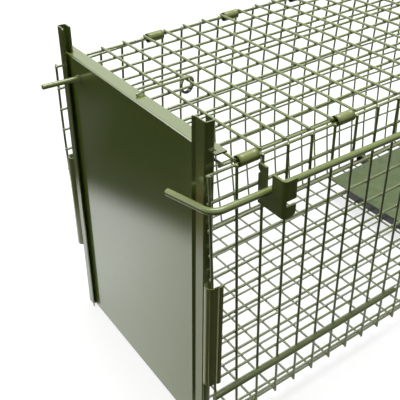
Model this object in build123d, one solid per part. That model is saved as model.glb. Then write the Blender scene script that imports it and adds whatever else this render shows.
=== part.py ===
from build123d import *
from math import acos, atan2, cos, degrees, hypot, radians, sin, tan
import os

# Walk-through live trap of welded wire mesh with a sliding sheet door at each end.
# Millimetres, +Z up, front door at -Y, the trap's right side at +X, ground at Z = 0.

# Welded mesh: the cage's sizes are between wire centres, in whole squares
cage_length = 950.0
cage_width = 250.0
cage_height = 287.5
floor_rise = 16.5
mesh_pitch = 25.0
wire_d = 2.5
weld_gap = 0.02
bottom_row = mesh_pitch / 2
side_offset = 3.0
side_overhang = 2.0
roof_rise = 2.0
roof_setback = mesh_pitch / 2

# Roof clips: rolled sleeves round the roof's edge wire and the side's top wire
clip_wall = 1.7
clip_clearance = 0.1
clip_length = 18.6
clip_first_cell = 1
clip_every_cells = 4

# Door guides
frame_lean = 2.5
frame_forward = 11.2
guide_inset = 5.5
guide_sheet = 1.2
guide_depth = 9.0
guide_front_width = 15.4
guide_back_width = 11.3
guide_lip = 3.0
guide_lip_flare = 1.9
guide_rise = 40.0
bend_radius = 1.6

# Hook strips that hang the guides on the side mesh
strip_sheet = 1.2
strip_forward = 2.5
strip_leg = 6.5
strip_joggle = 1.5
strip_lip = 3.0
strip_bottom_share = 0.278
strip_top_share = 0.655
strip_clearance = 0.3
strip_front_bend = 4.2

# Sliding door
door_sheet = 1.5
door_setback = 2.8
door_side_gap = 1.0
door_foot_gap = 0.3
door_rise = 15.3
door_flange = 13.2
door_ear = 6.9
door_notch_gap = 0.6
door_bend = 1.0

# Door pin
pin_d = 5.0
pin_length = 37.0
pin_from_edge = 28.8
pin_below_top = 18.9
pin_chamfer = 0.6

# Door hook
hook_eye_mean_r = 7.5
hook_clearance = 0.3
hook_wire_number = 3
hook_from_wire = 7.0
hook_turn = 13.5
hook_tip_over_flange = 4.7

# Lock rod
rod_d = 6.0
rod_out = 14.4
rod_finger = 48.4
rod_finger_drop = 3.6
rod_front_bend = 11.0
rod_rear_bend = 5.0
rod_front_drop = 22.8
rod_rear_drop = 28.3
rod_ahead = 5.7
rod_splay = 10.0
rod_reach = 237.5
rod_head_d = 9.0
rod_head_length = 1.9
rod_head_gap = 0.4
rod_hole_gap = 0.1

# Lock bracket and the rod's pivot plate
bracket_sheet = 2.0
bracket_cell = 2
bracket_width = 31.0
bracket_height = 34.0
bracket_top_drop = 8.0
tongue_extra = 2.8
bracket_side = 12.0
bracket_notch_gap = 0.4
bracket_bend = 2.5
bracket_slot = 5.2
bracket_slot_length = 9.5
bracket_corner = 5.0
bracket_edge_notch = 2.2
seat_gap = 0.15
pivot_plate_margin = 3.0
pivot_plate_height = 22.0

# Lower rod
lower_rod_height = 52.5
lower_rod_ahead = 4.0

# Treadle, with heights above the underside of the floor wires
treadle_width = 200.0
treadle_length = 200.0
treadle_sheet = 1.5
treadle_top = 18.0
treadle_front_lip = 12.0
treadle_lip_inset = 35.0
treadle_rear_lip = 7.0
treadle_bend = 2.25
treadle_pivot_forward = 9.0
treadle_pivot_height = 11.5
treadle_pivot_d = 5.0
treadle_tab_width = 16.0
treadle_tab_below = 4.5
treadle_hole_gap = 0.1
foot_sheet = 1.5
foot_width = 18.0
foot_rise = 7.0
foot_end_gap = 0.5

# How far a cut runs past the sheet
overrun = 1.0

# Values that follow from the sizes above
cells_long = round(cage_length / mesh_pitch)
cells_wide = round(cage_width / mesh_pitch)
side_rows = round((cage_height - bottom_row) / mesh_pitch)
wire_r = wire_d / 2
layer = wire_d + weld_gap
half_long = cells_long * mesh_pitch / 2
half_wide = cells_wide * mesh_pitch / 2
floor_cross_z = floor_rise + wire_r
floor_long_z = floor_cross_z + layer
top_wire_z = floor_long_z + bottom_row + side_rows * mesh_pitch
side_long_x = half_wide + side_offset
side_cross_x = side_long_x + layer
side_face_x = side_cross_x + wire_r
roof_long_z = top_wire_z + roof_rise
roof_cross_z = roof_long_z + layer
guide_web_x = side_long_x - guide_inset
guide_foot = guide_depth * tan(radians(frame_lean))
frame_y = -half_long - frame_forward
rod_r = rod_d / 2
rod_x = side_long_x + rod_out
half_turn = Rot(0, 0, 180)
lean = Pos(0, frame_y, 0) * Rot(-frame_lean, 0, 0)


def wire_along_x(half, y, z):
    return Pos(0, y, z) * Rot(0, 90, 0) * Cylinder(wire_r, 2 * half)


def wire_along_y(start, end, x, z):
    return Pos(x, (start + end) / 2, z) * Rot(90, 0, 0) * Cylinder(wire_r, end - start)


def wire_along_z(bottom, top, x, y):
    return Pos(x, y, (bottom + top) / 2) * Cylinder(wire_r, top - bottom)


def block(x0, x1, y0, y1, z0, z1):
    return Pos((x0 + x1) / 2, (y0 + y1) / 2, (z0 + z1) / 2) * Box(x1 - x0, y1 - y0, z1 - z0)


def bent_sheet(points, bends, thickness):
    return trace(FilletPolyline(*points, radius=bends), line_width=thickness)


def mirrored(piece):
    return mirror(piece, about=Plane.YZ)


def lattice(cells):
    return [(i - cells / 2) * mesh_pitch for i in range(cells + 1)]


def make_side_mesh():
    end = half_long + side_overhang
    heights = [floor_long_z]
    heights += [top_wire_z - row * mesh_pitch for row in range(side_rows + 1)]
    wires = [wire_along_y(-end, end, side_long_x, z) for z in heights]
    top = top_wire_z + wire_r
    wires += [wire_along_z(floor_rise, top, side_cross_x, y) for y in lattice(cells_long)]
    return wires


def make_roof_mesh():
    end = half_long - roof_setback
    wires = [wire_along_y(-end, end, x, roof_long_z) for x in lattice(cells_wide)]
    cross_half = half_wide + side_overhang
    places = [wire_r - end] + lattice(cells_long)[1:-1] + [end - wire_r]
    wires += [wire_along_x(cross_half, y, roof_cross_z) for y in places]
    return wires


def make_floor_mesh():
    end = half_long + side_overhang
    wires = [wire_along_y(-end, end, x, floor_long_z) for x in lattice(cells_wide)]
    cross_half = side_cross_x - wire_r - weld_gap
    wires += [wire_along_x(cross_half, y, floor_cross_z) for y in lattice(cells_long)]
    return wires


def make_roof_clips():
    inner_r = hypot(side_offset, roof_rise) / 2 + wire_r + clip_clearance
    sleeve = Cylinder(inner_r + clip_wall, clip_length) - Cylinder(inner_r, clip_length)
    middle_x = half_wide + side_offset / 2
    middle_z = top_wire_z + roof_rise / 2
    clips = []
    cell = clip_first_cell
    while cell + 1 < cells_long:
        y = (cell + 0.5) * mesh_pitch - half_long
        clips.append(Pos(middle_x, y, middle_z) * Rot(90, 0, 0) * sleeve)
        cell += clip_every_cells
    return clips


def make_guide():
    middle = guide_sheet / 2
    web = guide_web_x - middle
    front_edge = guide_web_x - guide_front_width
    points = [
        (front_edge, middle - guide_lip_flare),
        (front_edge + guide_lip, middle),
        (web, middle),
        (web, guide_depth - middle),
        (guide_web_x - guide_back_width, guide_depth - middle),
    ]
    section = bent_sheet(points, (bend_radius, bend_radius, bend_radius), guide_sheet)
    top = (top_wire_z + guide_rise) / cos(radians(frame_lean))
    channel = Pos(0, 0, guide_foot) * extrude(section, amount=top - guide_foot)
    foot = block(
        guide_web_x - guide_back_width,
        web,
        middle,
        guide_depth - middle,
        guide_foot,
        guide_foot + guide_sheet,
    )
    return lean * (channel + foot)


def make_hook_strip():
    middle = strip_sheet / 2
    inner_x = guide_web_x + middle
    outer_x = side_face_x + strip_clearance + middle
    front = middle - strip_forward
    points = [
        (inner_x, strip_leg),
        (inner_x, front),
        (outer_x, front),
        (outer_x, strip_leg),
        (outer_x + strip_joggle, strip_leg + strip_joggle),
        (outer_x + strip_joggle, strip_leg + strip_joggle + strip_lip),
    ]
    section = bent_sheet(points, (strip_front_bend, strip_front_bend, strip_sheet, strip_sheet), strip_sheet)
    bottom = strip_bottom_share * top_wire_z
    height = (strip_top_share - strip_bottom_share) * top_wire_z
    return lean * Pos(0, 0, bottom) * extrude(section, amount=height)


door_half = guide_web_x - guide_sheet - door_side_gap
door_flange_reach = door_half + door_ear
door_bottom = guide_foot + guide_sheet + door_foot_gap
door_top = (top_wire_z + door_rise) / cos(radians(frame_lean))
door_back = door_setback + door_sheet
flange_back = door_setback + door_flange


def make_door():
    middle = door_sheet / 2
    points = [
        (door_setback + middle, door_bottom),
        (door_setback + middle, door_top - middle),
        (flange_back, door_top - middle),
    ]
    section = Plane.YZ * bent_sheet(points, (door_bend,), door_sheet)
    sheet = extrude(section, amount=door_flange_reach, both=True)
    edge = block(
        door_half,
        door_flange_reach + overrun,
        door_setback - overrun,
        door_back + door_bend,
        door_bottom - overrun,
        door_top + overrun,
    )
    notch = block(
        guide_web_x - guide_back_width - 2 * door_notch_gap,
        guide_web_x + door_notch_gap,
        door_back,
        guide_depth + door_notch_gap,
        door_top - 3 * door_sheet,
        door_top + overrun,
    )
    cut = edge + notch
    return lean * (sheet - cut - mirrored(cut))


def make_door_pin():
    pin = Rot(90, 0, 0) * Cylinder(pin_d / 2, pin_length, align=(Align.CENTER, Align.CENTER, Align.MIN))
    free_end = pin.faces().sort_by(Axis.Y)[0]
    pin = chamfer(free_end.edges(), pin_chamfer)
    return lean * Pos(pin_from_edge - door_half, door_setback, door_top - pin_below_top) * pin


hook_y = hook_wire_number * mesh_pitch - half_long
hook_x = (cells_wide // 2 - cells_wide / 2) * mesh_pitch - hook_from_wire
hook_eye_drop = hook_eye_mean_r - wire_d - hook_clearance


def make_door_hook():
    eye_z = roof_cross_z - hook_eye_drop
    flange_top = door_top * cos(radians(frame_lean)) - flange_back * sin(radians(frame_lean))
    edge_y = frame_y + flange_back + door_top * sin(radians(frame_lean))
    reach = (hook_y - edge_y + hook_tip_over_flange) / cos(radians(hook_turn))
    rise = flange_top + 2 * hook_clearance + door_flange * tan(radians(frame_lean)) + wire_r - eye_z
    angle = atan2(rise, reach) + acos(hook_eye_mean_r / hypot(rise, reach))
    leave = Vector(0, -hook_eye_mean_r * cos(angle), hook_eye_mean_r * sin(angle))
    tip = Vector(0, -reach, rise)
    arm_r = wire_r - weld_gap
    arm = Cylinder(arm_r, (tip - leave).length, align=(Align.CENTER, Align.CENTER, Align.MIN))
    hook = Rot(0, 90, 0) * Torus(hook_eye_mean_r, wire_r)
    hook += Plane(origin=leave, z_dir=tip - leave) * arm
    hook += Pos(tip) * Sphere(arm_r)
    return Pos(hook_x, hook_y, eye_z) * Rot(0, 0, hook_turn) * hook


rod_y = -half_long - rod_ahead
rod_rear_cell = int(rod_reach // mesh_pitch)
rod_rear_y = (rod_rear_cell + 0.5) * mesh_pitch - half_long
rod_front_z = top_wire_z - rod_front_drop
rod_rear_z = top_wire_z - rod_rear_drop
rod_slope = degrees(atan2(rod_rear_z - rod_front_z, rod_rear_y - rod_y))
rod_run = hypot(rod_rear_z - rod_front_z, rod_rear_y - rod_y)
plate_x = side_face_x + weld_gap


def make_lock_rod():
    stub_end = plate_x - rod_head_gap
    lead = rod_finger * tan(radians(rod_splay))
    path = FilletPolyline(
        (rod_x - rod_finger, -lead, -rod_finger_drop),
        (rod_x, 0, 0),
        (rod_x, rod_run, 0),
        (stub_end, rod_run, 0),
        radius=(rod_front_bend, rod_rear_bend),
    )
    tip = Plane(origin=(rod_x - rod_finger, -lead, -rod_finger_drop), z_dir=(rod_finger, lead, rod_finger_drop))
    bar = sweep(tip * Circle(rod_r), path=path)
    head = Cylinder(rod_head_d / 2, rod_head_length, align=(Align.CENTER, Align.CENTER, Align.MAX))
    bar += Pos(stub_end, rod_run, 0) * Rot(0, 90, 0) * head
    return Pos(0, rod_y, rod_front_z) * Rot(rod_slope, 0, 0) * bar


def make_pivot_plate():
    half = mesh_pitch / 2 + pivot_plate_margin
    plate = block(
        plate_x,
        plate_x + bracket_sheet,
        rod_rear_y - half,
        rod_rear_y + half,
        rod_rear_z - pivot_plate_height / 2,
        rod_rear_z + pivot_plate_height / 2,
    )
    corners = plate.edges().filter_by(Axis.X)
    plate = fillet(corners, pivot_plate_margin)
    hole = Rot(0, 90, 0) * Cylinder(rod_r + rod_hole_gap, 4 * bracket_sheet)
    return plate - Pos(plate_x, rod_rear_y, rod_rear_z) * hole


def make_lock_bracket():
    inner = side_long_x + wire_r + seat_gap
    outer = inner + bracket_width - bracket_sheet / 2
    back = bracket_cell * mesh_pitch - half_long - wire_r - seat_gap
    middle_y = back - bracket_sheet / 2
    points = [
        (inner, middle_y),
        (outer, middle_y),
        (outer, back - bracket_sheet + bracket_side),
    ]
    section = bent_sheet(points, (bracket_bend,), bracket_sheet)
    top = top_wire_z - bracket_top_drop
    bottom = top - bracket_height
    tongue_top = top + tongue_extra
    bracket = Pos(0, 0, bottom) * extrude(section, amount=tongue_top - bottom)
    share = (middle_y - rod_y) / (rod_rear_y - rod_y)
    seat_z = rod_front_z + share * (rod_rear_z - rod_front_z)
    notch_r = rod_r + bracket_notch_gap
    front = back - bracket_sheet
    rear = front + bracket_side
    notch = block(
        rod_x - notch_r,
        rod_x + notch_r,
        front - overrun,
        back + overrun,
        seat_z,
        tongue_top + overrun,
    )
    notch += Pos(rod_x, middle_y, seat_z) * Rot(90, 0, 0) * Cylinder(notch_r, 2 * bracket_sheet)
    step = block(
        rod_x,
        outer + bracket_sheet,
        front - overrun,
        rear + overrun,
        top,
        tongue_top + overrun,
    )
    slot_z = bottom + 0.4 * bracket_height
    slot = block(
        outer - bracket_sheet,
        outer + bracket_sheet,
        rear - bracket_slot_length,
        rear + overrun,
        slot_z - bracket_slot / 2,
        slot_z + bracket_slot / 2,
    )
    nick = Box(bracket_edge_notch * 1.5, 4 * bracket_sheet, bracket_edge_notch * 1.5)
    nick = Pos(inner, middle_y, top - bracket_edge_notch * 2) * Rot(0, 45, 0) * nick
    bracket -= notch + step + slot + nick
    lower = bracket.edges().filter_by(Axis.X).group_by(Axis.Z)[0]
    return fillet(lower.sort_by(Axis.Y)[-1], bracket_corner)


def make_lower_rod():
    start = -half_long - lower_rod_ahead
    x = side_face_x + weld_gap + rod_r
    length = rod_rear_y - start
    z = floor_rise + lower_rod_height
    return Pos(x, start + length / 2, z) * Rot(90, 0, 0) * Cylinder(rod_r, length)


floor_top = floor_long_z + wire_r
pivot_y = -treadle_pivot_forward
pivot_z = floor_rise + treadle_pivot_height
plate_top = floor_rise + treadle_top


def make_treadle():
    middle = treadle_sheet / 2
    half = treadle_length / 2
    plate_z = plate_top - middle
    points = [
        (middle - half, plate_top - treadle_front_lip),
        (middle - half, plate_z),
        (half - middle, plate_z),
        (half - middle, plate_top - treadle_rear_lip),
    ]
    section = Plane.YZ * bent_sheet(points, (treadle_bend, treadle_bend), treadle_sheet)
    treadle = extrude(section, amount=treadle_width / 2, both=True)
    corner = block(
        treadle_width / 2 - treadle_lip_inset,
        treadle_width / 2 + overrun,
        -half - overrun,
        treadle_bend + treadle_sheet - half,
        plate_top - treadle_front_lip - overrun,
        plate_top - treadle_sheet,
    )
    treadle = treadle - corner - mirrored(corner)
    tab = block(
        treadle_width / 2 - treadle_sheet,
        treadle_width / 2,
        pivot_y - treadle_tab_width / 2,
        pivot_y + treadle_tab_width / 2,
        pivot_z - treadle_tab_below,
        plate_z,
    )
    hole = Rot(0, 90, 0) * Cylinder(treadle_pivot_d / 2 + treadle_hole_gap, 2 * treadle_width)
    treadle = treadle + tab + mirrored(tab)
    return treadle - Pos(0, pivot_y, pivot_z) * hole


foot_outer_x = side_long_x - wire_r - foot_end_gap


def make_treadle_bracket():
    middle = foot_sheet / 2
    foot_z = floor_top + weld_gap + middle
    ear_x = foot_outer_x - middle
    points = [
        (treadle_width / 2 + foot_end_gap, foot_z),
        (ear_x, foot_z),
        (ear_x, pivot_z + foot_rise),
    ]
    section = Plane.XZ * bent_sheet(points, (treadle_bend,), foot_sheet)
    bracket = Pos(0, pivot_y, 0) * extrude(section, amount=foot_width / 2, both=True)
    hole = Rot(0, 90, 0) * Cylinder(treadle_pivot_d / 2 + treadle_hole_gap, 4 * foot_sheet)
    return bracket - Pos(ear_x, pivot_y, pivot_z) * hole


def make_treadle_pivot_rod():
    rod = Rot(0, 90, 0) * Cylinder(treadle_pivot_d / 2, 2 * foot_outer_x)
    return Pos(0, pivot_y, pivot_z) * rod


nodes = {}


def keep(name, solids):
    nodes[name] = Compound(children=[Part(solid.wrapped) for piece in solids for solid in piece.solids()])


def keep_both_ends(right_name, left_name, solids):
    keep(right_name, solids)
    keep(left_name, [half_turn * piece for piece in solids])


keep_both_ends("side_mesh_right", "side_mesh_left", make_side_mesh())
keep("roof_mesh", make_roof_mesh())
keep("floor_mesh", make_floor_mesh())
keep_both_ends("roof_clips_right", "roof_clips_left", make_roof_clips())

guide = make_guide()
strip = make_hook_strip()
keep_both_ends("front_guide_right", "rear_guide_left", [guide])
keep_both_ends("front_guide_left", "rear_guide_right", [mirrored(guide)])
keep_both_ends("front_hook_strip_right", "rear_hook_strip_left", [strip])
keep_both_ends("front_hook_strip_left", "rear_hook_strip_right", [mirrored(strip)])

keep_both_ends("front_door", "rear_door", [make_door()])
keep_both_ends("front_door_pin", "rear_door_pin", [make_door_pin()])
keep_both_ends("front_door_hook", "rear_door_hook", [make_door_hook()])

keep_both_ends("lock_rod_right", "lock_rod_left", [make_lock_rod()])
keep_both_ends("lock_bracket_right", "lock_bracket_left", [make_lock_bracket()])
keep_both_ends("lock_pivot_plate_right", "lock_pivot_plate_left", [make_pivot_plate()])
keep_both_ends("lower_rod_right", "lower_rod_left", [make_lower_rod()])

treadle_bracket = make_treadle_bracket()
keep("treadle", [make_treadle()])
keep("treadle_pivot_rod", [make_treadle_pivot_rod()])
keep("treadle_bracket_right", [treadle_bracket])
keep("treadle_bracket_left", [mirrored(treadle_bracket)])

os.makedirs("parts", exist_ok=True)
for name, shape in nodes.items():
    export_step(shape, "parts/" + name + ".step")
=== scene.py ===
import bpy
import math
import random
from mathutils import Matrix, Vector


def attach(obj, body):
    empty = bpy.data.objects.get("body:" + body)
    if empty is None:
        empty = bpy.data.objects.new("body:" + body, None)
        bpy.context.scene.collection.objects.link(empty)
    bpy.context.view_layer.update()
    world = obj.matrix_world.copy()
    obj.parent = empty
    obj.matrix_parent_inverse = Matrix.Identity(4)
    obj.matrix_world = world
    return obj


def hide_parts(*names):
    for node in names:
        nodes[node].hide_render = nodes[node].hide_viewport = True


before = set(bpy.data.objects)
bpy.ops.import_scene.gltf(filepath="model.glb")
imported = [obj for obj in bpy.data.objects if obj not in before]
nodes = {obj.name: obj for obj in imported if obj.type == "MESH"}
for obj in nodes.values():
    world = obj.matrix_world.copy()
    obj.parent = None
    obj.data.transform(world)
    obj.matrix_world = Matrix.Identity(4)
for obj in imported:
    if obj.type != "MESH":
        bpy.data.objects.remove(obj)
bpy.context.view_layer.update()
scene = bpy.context.scene
scene.view_settings.view_transform = "Standard"

# Sizes shared with the solids, in metres
PITCH = 0.025
WIRE_R = 0.00125
LAYER = 0.00252
CELLS_LONG = 38
CELLS_WIDE = 10
SIDE_ROWS = 11
BOTTOM_ROW = 0.0125
FLOOR_RISE = 0.0165
ROOF_LIFT = 0.002
OVERHANG = 0.002
SIDE_LONG_X = 0.128
DOOR_RISE = 0.0153
FRAME_Y = -0.4862
LEAN = math.radians(2.5)

# Values that follow from the sizes above
HALF_LONG = CELLS_LONG * PITCH / 2
HALF_WIDE = CELLS_WIDE * PITCH / 2
FLOOR_CROSS_Z = FLOOR_RISE + WIRE_R
FLOOR_LONG_Z = FLOOR_CROSS_Z + LAYER
TOP_WIRE_Z = FLOOR_LONG_Z + BOTTOM_ROW + SIDE_ROWS * PITCH
WIRE_TOP = TOP_WIRE_Z + WIRE_R
WIRE_FOOT = FLOOR_CROSS_Z - WIRE_R
SIDE_CROSS_X = SIDE_LONG_X + LAYER
SIDE_FACE_X = SIDE_CROSS_X + WIRE_R
ROOF_LONG_Z = TOP_WIRE_Z + ROOF_LIFT
ROOF_CROSS_Z = ROOF_LONG_Z + LAYER
ROOF_END = HALF_LONG - PITCH / 2
LONG_END = HALF_LONG + OVERHANG
DOOR_TOP = (TOP_WIRE_Z + DOOR_RISE) / math.cos(LEAN)
LATTICE_LONG = [(i - CELLS_LONG // 2) * PITCH for i in range(CELLS_LONG + 1)]
LATTICE_WIDE = [(i - CELLS_WIDE // 2) * PITCH for i in range(CELLS_WIDE + 1)]
SIDE_HEIGHTS = [FLOOR_LONG_Z] + [TOP_WIRE_Z - i * PITCH for i in range(SIDE_ROWS + 1)]
ROOF_PLACES = [WIRE_R - ROOF_END] + LATTICE_LONG[1:-1] + [ROOF_END - WIRE_R]

# The door frame leans back, and the rear end is the front end turned half a turn
LEANED = Matrix.Translation((0, FRAME_Y, 0)) @ Matrix.Rotation(-LEAN, 4, "X")
REAR = Matrix.Rotation(math.pi, 4, "Z")


# Shader helpers

def new_material(name):
    material = bpy.data.materials.new(name)
    material.use_nodes = True
    tree = material.node_tree
    tree.nodes.clear()
    return material, tree


def node(tree, kind, **values):
    made = tree.nodes.new(kind)
    for key, value in values.items():
        setattr(made, key, value)
    return made


def noise_node(tree, coords, scale, detail):
    made = node(tree, "ShaderNodeTexNoise")
    made.inputs["Scale"].default_value = scale
    made.inputs["Detail"].default_value = detail
    made.inputs["Roughness"].default_value = 0.55
    tree.links.new(coords, made.inputs["Vector"])
    return made.outputs["Fac"]


def ramp(tree, value, low, high, to_low=0.0, to_high=1.0):
    made = node(tree, "ShaderNodeMapRange")
    made.interpolation_type = "SMOOTHSTEP"
    made.inputs["From Min"].default_value = low
    made.inputs["From Max"].default_value = high
    made.inputs["To Min"].default_value = to_low
    made.inputs["To Max"].default_value = to_high
    tree.links.new(value, made.inputs["Value"])
    return made.outputs["Result"]


def math_node(tree, operation, first, second=0.0):
    made = node(tree, "ShaderNodeMath", operation=operation)
    for socket, value in zip(made.inputs, (first, second)):
        if isinstance(value, float):
            socket.default_value = value
        else:
            tree.links.new(value, socket)
    return made.outputs[0]


def product(tree, first, second):
    return math_node(tree, "MULTIPLY", first, second)


def one_minus(tree, value):
    return math_node(tree, "SUBTRACT", 1.0, value)


def mix_colour(tree, factor, first, second):
    made = node(tree, "ShaderNodeMix", data_type="RGBA")
    tree.links.new(factor, made.inputs["Factor"])
    for name, value in (("A", first), ("B", second)):
        socket = [s for s in made.inputs if s.name == name and s.type == "RGBA"][0]
        if isinstance(value, tuple):
            socket.default_value = value + (1.0,)
        else:
            tree.links.new(value, socket)
    return [s for s in made.outputs if s.type == "RGBA"][0]


def mix_shader(tree, factor, first, second):
    made = node(tree, "ShaderNodeMixShader")
    tree.links.new(factor, made.inputs[0])
    tree.links.new(first.outputs[0], made.inputs[1])
    tree.links.new(second.outputs[0], made.inputs[2])
    return made


def diffuse(tree, grey):
    made = node(tree, "ShaderNodeBsdfDiffuse")
    made.inputs["Color"].default_value = (grey, grey, grey, 1)
    return made


def emission(tree, strength):
    made = node(tree, "ShaderNodeEmission")
    made.inputs["Strength"].default_value = strength
    return made


def background(tree, colour, strength):
    made = node(tree, "ShaderNodeBackground")
    made.inputs["Color"].default_value = colour + (1.0,)
    made.inputs["Strength"].default_value = strength
    return made


def separated(tree, vector):
    made = node(tree, "ShaderNodeSeparateXYZ")
    tree.links.new(vector, made.inputs[0])
    return made.outputs


def position(tree):
    return node(tree, "ShaderNodeNewGeometry").outputs["Position"]


def edge_mask(tree, radius):
    geometry = node(tree, "ShaderNodeNewGeometry")
    rounded = node(tree, "ShaderNodeBevel", samples=4)
    rounded.inputs["Radius"].default_value = radius
    turned = node(tree, "ShaderNodeVectorMath", operation="DOT_PRODUCT")
    tree.links.new(rounded.outputs[0], turned.inputs[0])
    tree.links.new(geometry.outputs["Normal"], turned.inputs[1])
    return ramp(tree, turned.outputs["Value"], 0.995, 0.90)


# Paints

SPECK = (0.03, 0.04, 0.012)
# Pale colour of top faces, partly dirt and partly painted top light
DUST_AND_TOP_SHEEN = (0.34, 0.36, 0.25)
# Painted shade below a height, and how fast it fades in
SHADE = (0.030, 0.035, 0.024)
RUBBED = (0.26, 0.28, 0.17)
SHADE_FADE = 0.004
EDGE_R = 0.0004
FINE_PEEL = 330.0
SHEET_PEEL = 60.0
DOOR_PEEL = 25.0


def paint(name, dark, light, roughness, coat, coat_ior, peel, peel_scale=FINE_PEEL, edge=0.0, dust_and_sheen=0.1,
          front=None, low=None, gloss=0.5, patchy=0.25):
    """Olive enamel: two close tones, specks, orange peel, pale tops of dirt and painted top light, rubbed
    edges on sheet.

    A colour for front covers the faces that look forward, as a painted shade. Below the height low the colour
    darkens to a painted shade.
    """
    material, tree = new_material(name)
    place = node(tree, "ShaderNodeTexCoord")
    coords = place.outputs["Object"]
    out = node(tree, "ShaderNodeOutputMaterial")
    shader = node(tree, "ShaderNodeBsdfPrincipled")
    tree.links.new(shader.outputs[0], out.inputs["Surface"])
    broad = noise_node(tree, coords, scale=14.0, detail=5.0)
    colour = mix_colour(tree, ramp(tree, broad, 0.3, 0.7), dark, light)
    specks = ramp(tree, noise_node(tree, coords, scale=420.0, detail=2.0), 0.70, 0.78, 0.0, 0.35)
    colour = mix_colour(tree, specks, colour, SPECK)
    facing = separated(tree, place.outputs["Normal"])
    # Top faces turn pale: partly dirt, partly a painted top light
    upward = ramp(tree, facing["Z"], 0.2, 0.95)
    dust_and_sheen_film = ramp(tree, noise_node(tree, coords, scale=55.0, detail=6.0), 0.40, 0.75, 0.0, dust_and_sheen)
    dust_and_sheen_mask = product(tree, upward, dust_and_sheen_film)
    colour = mix_colour(tree, dust_and_sheen_mask, colour, DUST_AND_TOP_SHEEN)
    # Painted shade on the faces that look forward
    if front:
        colour = mix_colour(tree, ramp(tree, facing["Y"], -0.55, -0.85), colour, front)
    # Painted shade below the height low
    if low:
        height = separated(tree, coords)["Z"]
        colour = mix_colour(tree, ramp(tree, height, low, low - SHADE_FADE), colour, SHADE)
    if edge:
        worn = ramp(tree, noise_node(tree, coords, scale=60.0, detail=3.0), 0.45, 0.70, 0.0, 0.30)
        colour = mix_colour(tree, product(tree, edge_mask(tree, edge), worn), colour, RUBBED)
    tree.links.new(colour, shader.inputs["Base Color"])
    uneven = noise_node(tree, coords, scale=38.0, detail=5.0)
    rough = ramp(tree, uneven, 0.3, 0.75, roughness * (1.0 - patchy), roughness * (1.0 + patchy))
    rough = math_node(tree, "ADD", rough, product(tree, dust_and_sheen_mask, 0.6))
    tree.links.new(rough, shader.inputs["Roughness"])
    bump = node(tree, "ShaderNodeBump")
    bump.inputs["Strength"].default_value = 1.0
    bump.inputs["Distance"].default_value = 0.001
    skin = product(tree, noise_node(tree, coords, scale=peel_scale, detail=2.0), peel)
    tree.links.new(skin, bump.inputs["Height"])
    tree.links.new(bump.outputs[0], shader.inputs["Normal"])
    tree.links.new(bump.outputs[0], shader.inputs["Coat Normal"])
    shader.inputs["IOR"].default_value = 1.5
    shader.inputs["Specular IOR Level"].default_value = gloss
    shader.inputs["Coat Weight"].default_value = coat
    shader.inputs["Coat Roughness"].default_value = 0.1
    shader.inputs["Coat IOR"].default_value = coat_ior
    return material


SHEET = paint("olive_sheet_paint", (0.116, 0.160, 0.026), (0.122, 0.167, 0.029), roughness=0.40, coat=1.0,
              coat_ior=2.5, peel=0.03, peel_scale=DOOR_PEEL, edge=EDGE_R, dust_and_sheen=0.03, gloss=0.1, patchy=0.04)
GUIDE = paint("olive_guide_paint", (0.114, 0.146, 0.030), (0.124, 0.158, 0.036), roughness=0.40, coat=1.0,
              coat_ior=2.1, peel=0.02, peel_scale=SHEET_PEEL, edge=EDGE_R, gloss=0.1, patchy=0.05)
WIRE = paint("olive_wire_paint", (0.158, 0.198, 0.052), (0.186, 0.230, 0.067), roughness=0.42, coat=1.0,
             coat_ior=1.65, peel=0.008, dust_and_sheen=0.2, gloss=0.2)
FLOOR_WIRE = paint("olive_floor_wire_paint", (0.235, 0.255, 0.165), (0.320, 0.335, 0.250), roughness=0.50,
                   coat=0.05, coat_ior=1.5, peel=0.012, dust_and_sheen=0.5, gloss=0.3)
# Below the roof the hook's wire gets a painted shade
HOOK = paint("olive_hook_paint", (0.150, 0.190, 0.050), (0.180, 0.222, 0.064), roughness=0.42, coat=0.8,
             coat_ior=1.6, peel=0.008, dust_and_sheen=0.2, low=ROOF_LONG_Z, gloss=0.2)
STRIP = paint("olive_strip_paint", (0.200, 0.218, 0.060), (0.225, 0.242, 0.070), roughness=0.40, coat=1.0,
              coat_ior=1.8, peel=0.02, peel_scale=SHEET_PEEL, edge=EDGE_R, gloss=0.2, patchy=0.05)
CLIP = paint("olive_clip_paint", (0.165, 0.192, 0.048), (0.195, 0.222, 0.062), roughness=0.46, coat=0.3,
             coat_ior=1.5, peel=0.010, edge=EDGE_R, dust_and_sheen=0.3, gloss=0.3)
FITTING = paint("olive_fitting_paint", (0.128, 0.164, 0.038), (0.148, 0.186, 0.048), roughness=0.40, coat=0.2,
                coat_ior=1.5, peel=0.008, edge=EDGE_R, gloss=0.35)
ROD = paint("olive_rod_paint", (0.150, 0.196, 0.048), (0.172, 0.220, 0.058), roughness=0.33, coat=0.6,
            coat_ior=1.5, peel=0.006, dust_and_sheen=0.15, gloss=0.4)
# The lower rod takes a darker copy of the rod paint, as painted shade
SHADED_LOWER_ROD = paint("olive_lower_rod_shaded_paint", (0.100, 0.132, 0.034), (0.118, 0.152, 0.042), roughness=0.40,
                  coat=0.3, coat_ior=1.5, peel=0.006, dust_and_sheen=0.15, gloss=0.3)
# The treadle's forward faces get a near-black painted shade
TREADLE = paint("olive_treadle_paint", (0.080, 0.118, 0.035), (0.094, 0.134, 0.042), roughness=0.34, coat=0.3,
                coat_ior=1.5, peel=0.004, edge=EDGE_R, dust_and_sheen=0.12, front=(0.014, 0.015, 0.015), gloss=0.4)
DARK = paint("dark_steel_paint", (0.011, 0.013, 0.011), (0.018, 0.020, 0.017), roughness=0.45, coat=0.1,
             coat_ior=1.5, peel=0.012, edge=EDGE_R)
BEAD = paint("weld_bead_paint", (0.150, 0.185, 0.075), (0.260, 0.290, 0.160), roughness=0.36, coat=0.5,
             coat_ior=1.5, peel=0.030, dust_and_sheen=0.3)

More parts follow.
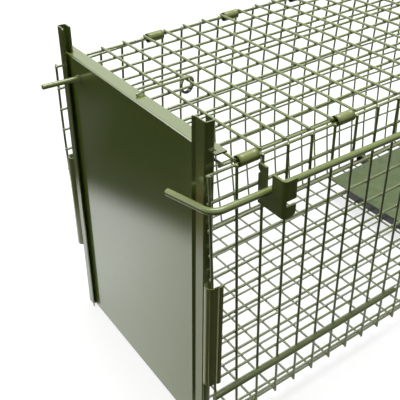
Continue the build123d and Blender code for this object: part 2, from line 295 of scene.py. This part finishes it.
# The first entry whose word is in a node's name gives its paint
MATERIAL_OF = (
    ("treadle_bracket", DARK),
    ("treadle_pivot", ROD),
    ("treadle", TREADLE),
    ("floor_mesh", FLOOR_WIRE),
    ("mesh", WIRE),
    ("clips", CLIP),
    ("guide", GUIDE),
    ("strip", STRIP),
    ("bracket", FITTING),
    ("plate", FITTING),
    ("pin", ROD),
    ("hook", HOOK),
    ("lower_rod", SHADED_LOWER_ROD),
    ("rod", ROD),
    ("door", SHEET),
)

for name, obj in nodes.items():
    obj.data.materials.clear()
    obj.data.materials.append([material for part, material in MATERIAL_OF if part in name][0])


# Shape helpers

def mesh_object(name, verts, faces, material, body, turn=None):
    mesh = bpy.data.meshes.new(name)
    if turn:
        verts = [turn @ Vector(v) for v in verts]
    mesh.from_pydata([tuple(v) for v in verts], [], faces)
    mesh.validate()
    mesh.polygons.foreach_set("use_smooth", [True] * len(mesh.polygons))
    mesh.materials.append(material)
    obj = bpy.data.objects.new(name, mesh)
    scene.collection.objects.link(obj)
    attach(obj, body)
    return obj


def bridge(faces, base, rings, around):
    """Join rings of points, one after the other, with quads."""
    for ring in range(rings - 1):
        for step in range(around):
            a = base + ring * around + step
            b = base + ring * around + (step + 1) % around
            faces.append((a, b, b + around, a + around))


# Smallest and largest size of a weld spot, as shares of its usual size
SPOT_SPREAD = (0.85, 1.15)


def nugget(verts, faces, centre, axis, radius, thick, rng, around=8, rings=3):
    """A flattened drop of weld, a little different each time."""
    base = len(verts)
    flat = [a for a in range(3) if a != axis]
    turn = rng.uniform(0, math.tau)
    size = [radius * rng.uniform(*SPOT_SPREAD), radius * rng.uniform(*SPOT_SPREAD)]
    for ring in range(1, rings + 1):
        lift = math.pi * ring / (rings + 1)
        for step in range(around):
            angle = turn + math.tau * step / around
            point = list(centre)
            point[flat[0]] += size[0] * math.sin(lift) * math.cos(angle)
            point[flat[1]] += size[1] * math.sin(lift) * math.sin(angle)
            point[axis] += thick * math.cos(lift)
            verts.append(tuple(point))
    for sign in (1, -1):
        point = list(centre)
        point[axis] += sign * thick
        verts.append(tuple(point))
    bridge(faces, base, rings, around)
    top = base + rings * around
    last = base + (rings - 1) * around
    for step in range(around):
        after = (step + 1) % around
        faces.append((top, base + after, base + step))
        faces.append((top + 1, last + step, last + after))


# Rings of a rounded wire end: place ahead of the flat end and radius, both as shares of the wire's radius
END_RINGS = ((-0.5, 1.03), (0.0, 1.02), (0.32, 0.80), (0.5, 0.42))
END_TIP = 0.56


def dome(verts, faces, centre, direction, radius, around=10):
    """A paint-rounded wire end over the flat end of a wire."""
    base = len(verts)
    ahead = Vector(direction).normalized()
    side = ahead.orthogonal().normalized()
    other = ahead.cross(side)
    for reach, share in END_RINGS:
        for step in range(around):
            angle = math.tau * step / around
            out = side * math.cos(angle) + other * math.sin(angle)
            verts.append(Vector(centre) + ahead * radius * reach + out * radius * share)
    verts.append(Vector(centre) + ahead * radius * END_TIP)
    bridge(faces, base, len(END_RINGS), around)
    last = base + (len(END_RINGS) - 1) * around
    for step in range(around):
        faces.append((last + step, last + (step + 1) % around, last + around))


def tube(verts, faces, path, radius, around=12):
    """A round bar along a path of points, with rounded ends."""
    base = len(verts)
    path = [Vector(point) for point in path]
    count = len(path)
    normal = None
    for index, point in enumerate(path):
        ahead = (path[min(index + 1, count - 1)] - path[max(index - 1, 0)]).normalized()
        if normal is None:
            normal = ahead.orthogonal().normalized()
        normal = (normal - ahead * normal.dot(ahead)).normalized()
        other = ahead.cross(normal)
        for step in range(around):
            angle = math.tau * step / around
            verts.append(point + (normal * math.cos(angle) + other * math.sin(angle)) * radius)
    bridge(faces, base, count, around)
    dome(verts, faces, path[0], path[0] - path[1], radius, around)
    dome(verts, faces, path[-1], path[-1] - path[-2], radius, around)


def spots(name, points, axis, seed, radius=0.0017, thick=0.0011, material=WIRE, body="cage",
          turn=None):
    """Weld spots that are flat along one axis."""
    rng = random.Random(seed)
    verts = []
    faces = []
    for point in points:
        nugget(verts, faces, point, axis, radius, thick, rng)
    mesh_object(name, verts, faces, material, body, turn)


def wire_tips(name, ends, material=WIRE):
    """Rounded ends, each at a point and facing a direction."""
    verts = []
    faces = []
    for point, direction in ends:
        dome(verts, faces, point, direction, WIRE_R)
    mesh_object(name, verts, faces, material, "cage")


def wire_panel(name, paths):
    """A whole panel of wires, one along each path."""
    verts = []
    faces = []
    for path in paths:
        tube(verts, faces, path, WIRE_R)
    return mesh_object(name, verts, faces, WIRE, "cage")


# Side panels, with weld spots at every crossing
TRIMMED_OVERHANG = 0.0003
TRIMMED_END = -HALF_LONG - TRIMMED_OVERHANG
BELLY = 0.0125
BELLY_ALONG = (0.20, -0.10)
CORNER_DROP = 0.003
DROP_ALONG = (-0.36, -0.46)
DROP_UP = (0.03, 0.12)
STRETCH_STEP = 0.0125
STRETCH_STEPS = 37
RISE_STEPS = 30
contact_x = SIDE_LONG_X + LAYER / 2


def smooth_step(value, low, high):
    share = min(1.0, max(0.0, (value - low) / (high - low)))
    return share * share * (3.0 - 2.0 * share)


def bulged(x, y, z):
    """The left panel bellies outwards between roof and floor, and its front corner hangs a little lower."""
    up = min(1.0, max(0.0, (z - FLOOR_CROSS_Z) / (TOP_WIRE_Z - FLOOR_CROSS_Z)))
    belly = BELLY * math.sin(math.pi * up) * smooth_step(y, *BELLY_ALONG)
    drop = CORNER_DROP * smooth_step(y, *DROP_ALONG) * smooth_step(z, *DROP_UP)
    return x - belly, y, z - drop


# On the right the long wires' front ends are trimmed at the first upright wire
crossings = [(contact_x, y, z) for y in LATTICE_LONG for z in SIDE_HEIGHTS]
spots("weld_spots_side_right", crossings, axis=0, seed=4)
paths = [[(SIDE_LONG_X, TRIMMED_END, z), (SIDE_LONG_X, LONG_END, z)] for z in SIDE_HEIGHTS]
paths += [[(SIDE_CROSS_X, y, WIRE_FOOT), (SIDE_CROSS_X, y, WIRE_TOP)] for y in LATTICE_LONG]
right_panel = wire_panel("trimmed_side_mesh_right", paths)
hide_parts("side_mesh_right")

# On the left the same wires are bent as one panel
inner_stretch = [step * STRETCH_STEP for step in range(-STRETCH_STEPS, STRETCH_STEPS + 1)]
stretch = [-LONG_END] + inner_stretch + [LONG_END]
rise = [WIRE_FOOT + (WIRE_TOP - WIRE_FOOT) * step / RISE_STEPS for step in range(RISE_STEPS + 1)]
paths = [[bulged(-SIDE_LONG_X, y, z) for y in stretch] for z in SIDE_HEIGHTS]
paths += [[bulged(-SIDE_CROSS_X, y, z) for z in rise] for y in LATTICE_LONG]
left_panel = wire_panel("bulged_side_mesh_left", paths)
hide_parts("side_mesh_left")
crossings = [bulged(-contact_x, y, z) for y in LATTICE_LONG for z in SIDE_HEIGHTS]
spots("weld_spots_side_left", crossings, axis=0, seed=2)

# Weld spots and rounded wire ends of the roof and the floor
roof_z = ROOF_LONG_Z + LAYER / 2
crossings = [(x, y, roof_z) for x in LATTICE_WIDE for y in ROOF_PLACES]
spots("weld_spots_roof", crossings, axis=2, seed=11)
cross_end = HALF_WIDE + OVERHANG
tips = [((x, end * ROOF_END, ROOF_LONG_Z), (0, end, 0)) for x in LATTICE_WIDE for end in (-1, 1)]
tips += [((end * cross_end, y, ROOF_CROSS_Z), (end, 0, 0)) for y in ROOF_PLACES for end in (-1, 1)]
wire_tips("wire_tips_roof", tips)
floor_z = FLOOR_CROSS_Z + LAYER / 2
crossings = [(x, y, floor_z) for x in LATTICE_WIDE for y in LATTICE_LONG]
spots("weld_spots_floor", crossings, axis=2, seed=12, material=FLOOR_WIRE)
tips = [((x, end * LONG_END, FLOOR_LONG_Z), (0, end, 0)) for x in LATTICE_WIDE for end in (-1, 1)]
wire_tips("wire_tips_floor", tips, FLOOR_WIRE)

# Roof clips: a strip of sheet rolled a little more than once round both edge wires
CLIP_LENGTH = 0.0186
CLIP_INNER_R = 0.0043
CLIP_SHEET = 0.00045
CLIP_GROWTH = 0.00034
CLIP_TURNS = 1.17
CLIP_TAPER = 0.03
CLIP_OUT = 0.0015
CLIP_LIFT = 0.001
CLIP_STARTS = (1.2, 2.4)
CLIP_SEED = 21
CLIP_CELLS = range(1, 37, 4)


def rolled_clip(verts, faces, centre, start, rng, around=38, stations=5):
    """One clip, whose roll begins at the angle start and gets a little narrower towards both ends."""
    base = len(verts)
    row = around + 1
    for station in range(stations):
        share_along = station / (stations - 1)
        y = (share_along - 0.5) * CLIP_LENGTH
        swell = 1.0 - CLIP_TAPER * abs(2 * share_along - 1) * rng.uniform(0.3, 1.0)
        for layer in (0.0, CLIP_SHEET):
            for step in range(row):
                share = step / around
                angle = start + share * CLIP_TURNS * math.tau
                radius = (CLIP_INNER_R + CLIP_GROWTH * share + layer) * swell
                x = radius * math.cos(angle)
                z = radius * math.sin(angle)
                verts.append((centre[0] + x, centre[1] + y, centre[2] + z))
    ahead = 2 * row
    for station in range(stations - 1):
        inner = base + station * ahead
        outer = inner + row
        for step in range(around):
            faces.append((inner + step, inner + step + 1, inner + step + 1 + ahead, inner + step + ahead))
            faces.append((outer + step, outer + step + ahead, outer + step + 1 + ahead, outer + step + 1))
        faces.append((inner, inner + ahead, outer + ahead, outer))
        faces.append((inner + around, outer + around, outer + around + ahead, inner + around + ahead))
    for station in (0, stations - 1):
        inner = base + station * ahead
        outer = inner + row
        for step in range(around):
            faces.append((inner + step, outer + step, outer + step + 1, inner + step + 1))


clip_places = [(cell + 0.5) * PITCH - HALF_LONG for cell in CLIP_CELLS]
for side, name in ((1, "right"), (-1, "left")):
    rng = random.Random(CLIP_SEED + side)
    verts = []
    faces = []
    for y in clip_places:
        centre = (side * (HALF_WIDE + CLIP_OUT), side * y, TOP_WIRE_Z + CLIP_LIFT)
        rolled_clip(verts, faces, centre, rng.uniform(*CLIP_STARTS), rng)
    clips = mesh_object("rolled_clips_" + name, verts, faces, CLIP, "cage")
    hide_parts("roof_clips_" + name)


# Door hooks: one wire with a double eye on the roof's cross wire and an arm that is bent onto the flange
HOOK_X = -0.007
HOOK_Y = -0.4
HOOK_TURN = math.radians(16.1)
EYE_R = 0.0075
EYE_TURNS = 1.9
EYE_STEPS = 60
EYE_PITCH = 0.0026
EYE_GAP = 0.0003
FLANGE_REAR = 0.0160
TIP_BACK = 0.0083
KNEE_PAST = 0.0005
KNEE_GAP = 0.0012
TIP_GAP = 0.0002
BEND_SHARES = (0.35, 0.7, 0.88)
KNEE_SHARE = 0.04
ARM_STEPS = 8
eye_z = ROOF_CROSS_Z - (EYE_R - 2 * WIRE_R - EYE_GAP)


def flange_at(back):
    """Place along the trap and height of the door flange's top, some way back from the door's front."""
    along = FRAME_Y + back + DOOR_TOP * math.sin(LEAN)
    return Vector((along, DOOR_TOP * math.cos(LEAN) - back * math.sin(LEAN)))


def hook_point(place, past, gap):
    """A point of the hook's arm over the flange: distance ahead of the eye and height above it."""
    return Vector(((HOOK_Y - place[0]) / math.cos(HOOK_TURN) + past, place[1] + gap + WIRE_R - eye_z))


def hook_path():
    """The middle line of the hook's wire, from the tip over the knee to the end of the eye."""
    knee = hook_point(flange_at(FLANGE_REAR), KNEE_PAST, KNEE_GAP)
    tip = hook_point(flange_at(TIP_BACK), 0.0, TIP_GAP)
    leave = math.atan2(knee[1], knee[0]) + math.acos(EYE_R / knee.length)
    start = Vector((EYE_R * math.cos(leave), EYE_R * math.sin(leave)))
    arm = [tip] + [tip.lerp(knee, share) for share in BEND_SHARES] + [knee.lerp(start, KNEE_SHARE)]
    arm += [knee.lerp(start, step / ARM_STEPS) for step in range(1, ARM_STEPS + 1)]
    path = [(0.0, -place[0], place[1]) for place in arm]
    for step in range(1, EYE_STEPS + 1):
        turns = EYE_TURNS * step / EYE_STEPS
        angle = leave + turns * math.tau
        path.append((-EYE_PITCH * min(1.0, turns), -EYE_R * math.cos(angle), EYE_R * math.sin(angle)))
    return path


hook_place = Matrix.Translation((HOOK_X, HOOK_Y, eye_z)) @ Matrix.Rotation(HOOK_TURN, 4, "Z")
for end, turn in (("front", hook_place), ("rear", REAR @ hook_place)):
    verts = []
    faces = []
    tube(verts, faces, hook_path(), WIRE_R)
    hook = mesh_object(end + "_hook_wire", verts, faces, HOOK, end + "_hook", turn)
    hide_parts(end + "_door_hook")


# Weld beads of the pins, lock brackets, lower rods and pivot plates
PIN_X = -0.0915
PIN_Y = 0.0028
PIN_DROP = 0.0189
PIN_PLACE = Vector((PIN_X, PIN_Y, DOOR_TOP - PIN_DROP))
PIN_RING_R = 0.0027
PIN_RING_SINK = 0.0004
PIN_BEADS = 9
BRACKET_GAP = 0.00015
BRACKET_BACK = -HALF_LONG + 2 * PITCH - WIRE_R - BRACKET_GAP
BRACKET_DROPS = (0.009, 0.0125, 0.031, 0.036, 0.0405)
BRACKET_BEAD_X = SIDE_CROSS_X + 0.0006
BRACKET_BEAD_Y = BRACKET_BACK + 0.0003
LOWER_ROD_Z = 0.069
LOWER_ROD_BEADS = 10
PIVOT_Y = -0.2375
PIVOT_DROP = 0.0283
PIVOT_Z = TOP_WIRE_Z - PIVOT_DROP
PLATE_HALF_LONG = 0.0125
PLATE_HALF_HIGH = 0.011

for end, turn in (("front", LEANED), ("rear", REAR @ LEANED)):
    beads = []
    for step in range(PIN_BEADS):
        angle = math.tau * step / PIN_BEADS
        out = Vector((PIN_RING_R * math.cos(angle), -PIN_RING_SINK, PIN_RING_R * math.sin(angle)))
        beads.append(PIN_PLACE + out)
    spots(end + "_pin_weld", beads, axis=1, seed=31, radius=0.0010, thick=0.0009, material=ROD,
          body=end + "_door", turn=turn)
for name, turn in (("right", Matrix.Identity(4)), ("left", REAR)):
    beads = [(BRACKET_BEAD_X, BRACKET_BEAD_Y, TOP_WIRE_Z - drop) for drop in BRACKET_DROPS]
    spots("bracket_weld_" + name, beads, axis=1, seed=41, radius=0.0018, thick=0.0012, material=BEAD,
          turn=turn)
    beads = [(SIDE_FACE_X, y, LOWER_ROD_Z) for y in LATTICE_LONG[:LOWER_ROD_BEADS]]
    spots("lower_rod_weld_" + name, beads, axis=0, seed=42, radius=0.0026, thick=0.0012, material=ROD,
          turn=turn)
    beads = [(SIDE_FACE_X, PIVOT_Y + side * PLATE_HALF_LONG, PIVOT_Z + lift * PLATE_HALF_HIGH)
             for side in (-1, 1) for lift in (-1, 1)]
    spots("pivot_plate_weld_" + name, beads, axis=0, seed=43, radius=0.0022, thick=0.0013, material=BEAD,
          turn=turn)


# Studio

FLOOR_REACH = 12.0
CARD_REACH = 3.0
CARD_Z = 0.001

# Level directions, places and tints on the dark card
ACROSS = (0.6, -0.8)
AHEAD = (-0.333, -0.943)
BESIDE = (0.8, -0.6)
OVER_GAP = (0.795, 0.606)
GAP_OFFSET = 0.1842
STRIP_SLANT = 0.0514
PALE_TINT = (0.97, 1.0, 0.95)
DULL_TINT = (0.77, 0.80, 0.68)
STRIP_PALE = (0.78, 0.78, 0.65)
STRIP_BROWN = (0.23, 0.165, 0.055)
STRIP_DARK = (0.01, 0.01, 0.01)
GAP_TINT = (0.95, 1.0, 0.62)


def stage_plane(name, reach, z, material):
    mesh = bpy.data.meshes.new(name)
    corners = [(-reach, -reach, z), (reach, -reach, z), (reach, reach, z), (-reach, reach, z)]
    mesh.from_pydata(corners, [], [(0, 1, 2, 3)])
    mesh.materials.append(material)
    obj = bpy.data.objects.new(name, mesh)
    scene.collection.objects.link(obj)
    return obj


def background_rays(tree):
    """One for rays that see the background directly or in a reflection, and zero for other light."""
    path = node(tree, "ShaderNodeLightPath")
    seen = math_node(tree, "MAXIMUM", path.outputs["Is Camera Ray"], path.outputs["Is Glossy Ray"])
    return math_node(tree, "MAXIMUM", seen, path.outputs["Is Transmission Ray"])


def pale_floor():
    """Near the trap it takes shadows, and further away it fades into plain white."""
    material, tree = new_material("pale_floor")
    out = node(tree, "ShaderNodeOutputMaterial")
    near = node(tree, "ShaderNodeAddShader")
    tree.links.new(diffuse(tree, 0.3).outputs[0], near.inputs[0])
    tree.links.new(emission(tree, 0.78).outputs[0], near.inputs[1])
    away = node(tree, "ShaderNodeVectorMath", operation="LENGTH")
    tree.links.new(position(tree), away.inputs[0])
    seen = mix_shader(tree, ramp(tree, away.outputs["Value"], 1.0, 2.2), near, emission(tree, 1.0))
    chosen = mix_shader(tree, background_rays(tree), diffuse(tree, 0.35), seen)
    tree.links.new(chosen.outputs[0], out.inputs["Surface"])
    return material


def level_distance(tree, place, direction):
    """How far a point lies along a level direction."""
    x_part = product(tree, place["X"], direction[0])
    y_part = product(tree, place["Y"], direction[1])
    return math_node(tree, "ADD", x_part, y_part)


def dark_card_material():
    """Dark to the front and to the right of the trap, and a clear tint elsewhere."""
    material, tree = new_material("dark_card")
    out = node(tree, "ShaderNodeOutputMaterial")
    place = separated(tree, position(tree))
    across = level_distance(tree, place, ACROSS)
    ahead = level_distance(tree, place, AHEAD)
    beside = level_distance(tree, place, BESIDE)
    tint = mix_colour(tree, ramp(tree, across, 0.33, 0.46), PALE_TINT, DULL_TINT)
    paler = product(tree, ramp(tree, across, 0.28, 0.22), ramp(tree, ahead, 1.0, 0.88, 0.0, 0.08))
    front_dark = math_node(tree, "SUBTRACT", ramp(tree, ahead, 0.65, 0.715), paler)
    right_dark = ramp(tree, place["X"], 0.19, 0.27)
    right_dark = math_node(tree, "MAXIMUM", ramp(tree, beside, 0.37, 0.42), right_dark)

    # A brown strip in front of the right guide, which its front mirrors
    along = math_node(tree, "ADD", across, product(tree, ahead, STRIP_SLANT))
    strip = product(tree, ramp(tree, along, 0.4725, 0.4755), ramp(tree, along, 0.505, 0.494))
    brown = mix_colour(tree, ramp(tree, ahead, 0.64, 0.73), STRIP_PALE, STRIP_BROWN)
    brown = mix_colour(tree, ramp(tree, ahead, 0.80, 0.93), brown, STRIP_DARK)
    tint = mix_colour(tree, strip, tint, brown)
    front_dark = product(tree, front_dark, one_minus(tree, strip))

    # A narrow gap in the card, which the joggle of the right hook strip mirrors
    past_line = math_node(tree, "ADD", level_distance(tree, place, OVER_GAP), GAP_OFFSET)
    off_line = math_node(tree, "ABSOLUTE", past_line)
    gap = product(tree, ramp(tree, off_line, 0.014, 0.007), ramp(tree, place["X"], 0.34, 0.30))
    tint = mix_colour(tree, gap, tint, GAP_TINT)
    right_dark = product(tree, right_dark, one_minus(tree, gap))

    clear = node(tree, "ShaderNodeBsdfTransparent")
    tree.links.new(tint, clear.inputs["Color"])
    cover = math_node(tree, "MAXIMUM", front_dark, right_dark)
    chosen = mix_shader(tree, cover, clear, diffuse(tree, 0.01))
    tree.links.new(chosen.outputs[0], out.inputs["Surface"])
    return material


def studio_world():
    """A weak fill for the object, and white where the camera and reflections see it."""
    world = bpy.data.worlds.new("studio")
    world.use_nodes = True
    tree = world.node_tree
    tree.nodes.clear()
    out = node(tree, "ShaderNodeOutputWorld")
    fill = background(tree, (0.95, 0.97, 1.0), 0.22)
    white = background(tree, (1.0, 1.0, 1.0), 1.0)
    chosen = mix_shader(tree, background_rays(tree), fill, white)
    tree.links.new(chosen.outputs[0], out.inputs["Surface"])
    return world


def softbox(name, place, target, width, height, radiance):
    light = bpy.data.lights.new(name, "AREA")
    light.shape = "RECTANGLE"
    light.size = width
    light.size_y = height
    light.energy = radiance * math.pi * width * height
    obj = bpy.data.objects.new(name, light)
    scene.collection.objects.link(obj)
    obj.location = place
    obj.rotation_euler = (Vector(target) - Vector(place)).to_track_quat("-Z", "Y").to_euler()
    return obj


stage_plane("floor", FLOOR_REACH, 0.0, pale_floor())

# The camera doesn't see the card, and it casts no shadow
dark_card = stage_plane("dark_card", CARD_REACH, CARD_Z, dark_card_material())
dark_card.visible_camera = False
dark_card.visible_transmission = False
dark_card.visible_shadow = False

# Light
scene.world = studio_world()
left_softbox = softbox("left_softbox", place=(-2.2, 0.9, 1.2), target=(0, -0.2, 0.2), width=3.0, height=2.4,
                       radiance=0.7)
left_softbox.visible_glossy = False
softbox("front_softbox", place=(-1.3, -2.2, 0.9), target=(0, -0.3, 0.2), width=1.5, height=1.4, radiance=1.6)
softbox("top_softbox", place=(-0.2, 0.0, 2.4), target=(0, -0.2, 0.2), width=1.4, height=1.4, radiance=12.0)

# Camera, solved from the crossings of the mesh
CAMERA_PLACE = (0.45286, -0.69840, 0.56589)
CAMERA_RIGHT = (0.572508, 0.819297, -0.031399)
CAMERA_UP = (-0.458693, 0.351797, 0.81599)
CAMERA_BACK = (0.679584, -0.452759, 0.577213)
CAMERA_LENS = 58.757
camera = bpy.data.objects.new("camera", bpy.data.cameras.new("camera"))
scene.collection.objects.link(camera)
camera.data.sensor_width = 36.0
camera.data.lens = CAMERA_LENS
camera.data.clip_start = 0.01
turn = Matrix((CAMERA_RIGHT, CAMERA_UP, CAMERA_BACK)).transposed()
camera.matrix_world = Matrix.Translation(CAMERA_PLACE) @ turn.to_4x4()
scene.camera = camera
